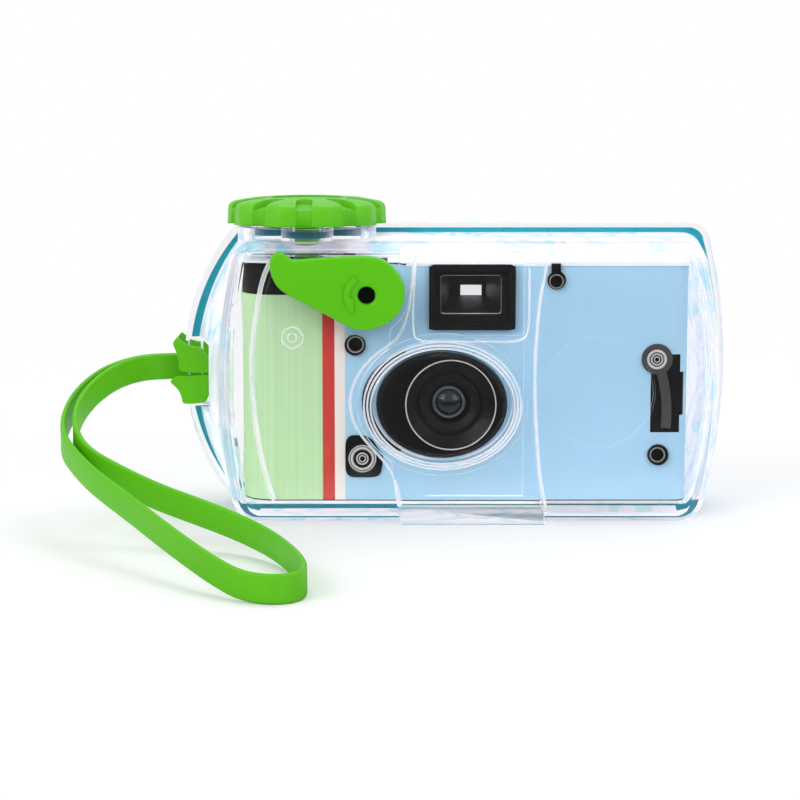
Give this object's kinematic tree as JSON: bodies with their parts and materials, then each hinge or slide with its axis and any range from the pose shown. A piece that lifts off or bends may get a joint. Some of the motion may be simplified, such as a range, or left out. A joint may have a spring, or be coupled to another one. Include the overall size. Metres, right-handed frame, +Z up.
{
  "type": "waterproof disposable film camera",
  "caption": "Sealed clear housing round a carded film camera, with a top winding knob, a front shutter lever and a flat wrist strap.",
  "frame": {"origin": "middle of the housing's footprint, on the surface that it stands on", "axes": "+Z up, the lens looks along -Y, +X to the right as the lens is looked at"},
  "size_m": [0.1519, 0.1215, 0.0728],
  "materials": {
    "clear_shell": "clear, polished",
    "seal_rubber": "teal, soft",
    "lime_plastic": "lime green, satin",
    "strap_plastic": "green, satin",
    "black_plastic": "black, fine texture",
    "gloss_black": "black, polished",
    "grey_plastic": "grey",
    "printed_card": "printed, coated",
    "lens_plastic": "clear, polished",
    "spring_steel": "plain",
    "tinplate": "lacquered",
    "film": "smooth",
    "white_plastic": "plain"
  },
  "bodies": {
    "housing": {"front_housing": "clear_shell", "rear_housing": "clear_shell", "housing_seal": "seal_rubber", "knob_seal": "seal_rubber", "lever_seal": "seal_rubber", "lever_spring": "spring_steel", "front_cover": "black_plastic", "rear_cover": "black_plastic", "counter_window": "lens_plastic", "card_label": "printed_card", "cover_latch": "grey_plastic", "lens_surround": "gloss_black", "lens_barrel": "gloss_black", "taking_lens": "lens_plastic", "lens_ring": "gloss_black", "viewfinder_frame": "gloss_black", "viewfinder_front_lens": "lens_plastic", "viewfinder_rear_lens": "lens_plastic", "camera_body": "black_plastic", "film_cassette": "tinplate", "film_strip": "film", "striker_spring": "spring_steel", "blade_spring": "spring_steel", "strap_hitch": "strap_plastic", "wrist_strap": "strap_plastic"},
    "knob": {"winding_knob": "lime_plastic", "knob_clip": "spring_steel"},
    "wheel": {"winding_wheel": "black_plastic", "cassette_spool": "black_plastic"},
    "supply": {"supply_spool": "white_plastic", "film_roll": "film"},
    "sprocket": {"film_sprocket": "white_plastic"},
    "counter": {"counter_dial": "white_plastic"},
    "lever": {"shutter_lever": "lime_plastic", "lever_shaft": "gloss_black", "release_arm": "black_plastic"},
    "button": {"shutter_button": "grey_plastic"},
    "striker": {"striker": "spring_steel"},
    "blade": {"shutter_blade": "black_plastic"},
    "pawl": {"ratchet_pawl": "white_plastic"}
  },
  "joints": [
    {"name": "knob_turn", "type": "hinge", "parent": "housing", "child": "knob", "pos_m": [-0.034, -0.001, 0.066], "axis": [0, 0, 1], "continuous": true},
    {"name": "wheel_turn", "type": "hinge", "parent": "housing", "child": "wheel", "pos_m": [-0.034, -0.001, 0.054], "axis": [0, 0, 1], "continuous": true},
    {"name": "supply_turn", "type": "hinge", "parent": "housing", "child": "supply", "pos_m": [0.0354, 0.0016, 0.0276], "axis": [0, 0, 1], "continuous": true},
    {"name": "sprocket_turn", "type": "hinge", "parent": "housing", "child": "sprocket", "pos_m": [-0.0145, 0.00387, 0.0432], "axis": [0, 0, 1], "continuous": true},
    {"name": "counter_turn", "type": "hinge", "parent": "housing", "child": "counter", "pos_m": [0.022, 0.003, 0.0557], "axis": [0, 0, 1], "continuous": true},
    {"name": "lever_press", "type": "hinge", "parent": "housing", "child": "lever", "pos_m": [-0.02, -0.019, 0.0523], "axis": [0, -1, 0], "range_deg": [0, 12], "stiffness_Nm_per_rad": 0.02, "springref_deg": -22.92},
    {"name": "button_press", "type": "slide", "parent": "housing", "child": "button", "axis": [0, 0, -1], "range_m": [0, 0.00101], "stiffness_N_per_m": 0.02, "springref_m": -0.0282},
    {"name": "striker_swing", "type": "hinge", "parent": "housing", "child": "striker", "pos_m": [-0.0125, -0.0109, 0.04], "axis": [0, 1, 0], "range_deg": [0, 25], "stiffness_Nm_per_rad": 0.001, "springref_deg": -22.92},
    {"name": "blade_swing", "type": "hinge", "parent": "housing", "child": "blade", "pos_m": [0.0065, -0.00985, 0.0385], "axis": [0, -1, 0], "range_deg": [0, 23.8], "stiffness_Nm_per_rad": 0.0005, "springref_deg": -17.19},
    {"name": "pawl_lift", "type": "hinge", "parent": "housing", "child": "pawl", "pos_m": [-0.0223, 0.0092, 0.0538], "axis": [0, 0, -1], "range_deg": [0, 10], "stiffness_Nm_per_rad": 0.001, "springref_deg": -17.19}
  ],
  "couplings": [
    {"joint": "wheel_turn", "follows": "knob_turn", "ratio": 1},
    {"joint": "supply_turn", "follows": "knob_turn", "ratio": 0.6053},
    {"joint": "sprocket_turn", "follows": "knob_turn", "ratio": 0.9507},
    {"joint": "counter_turn", "follows": "knob_turn", "ratio": 0.0317},
    {"joint": "button_press", "follows": "lever_press", "m_per_rad": 0.004775},
    {"joint": "blade_swing", "follows": "striker_swing", "ratio": 0.95}
  ]
}
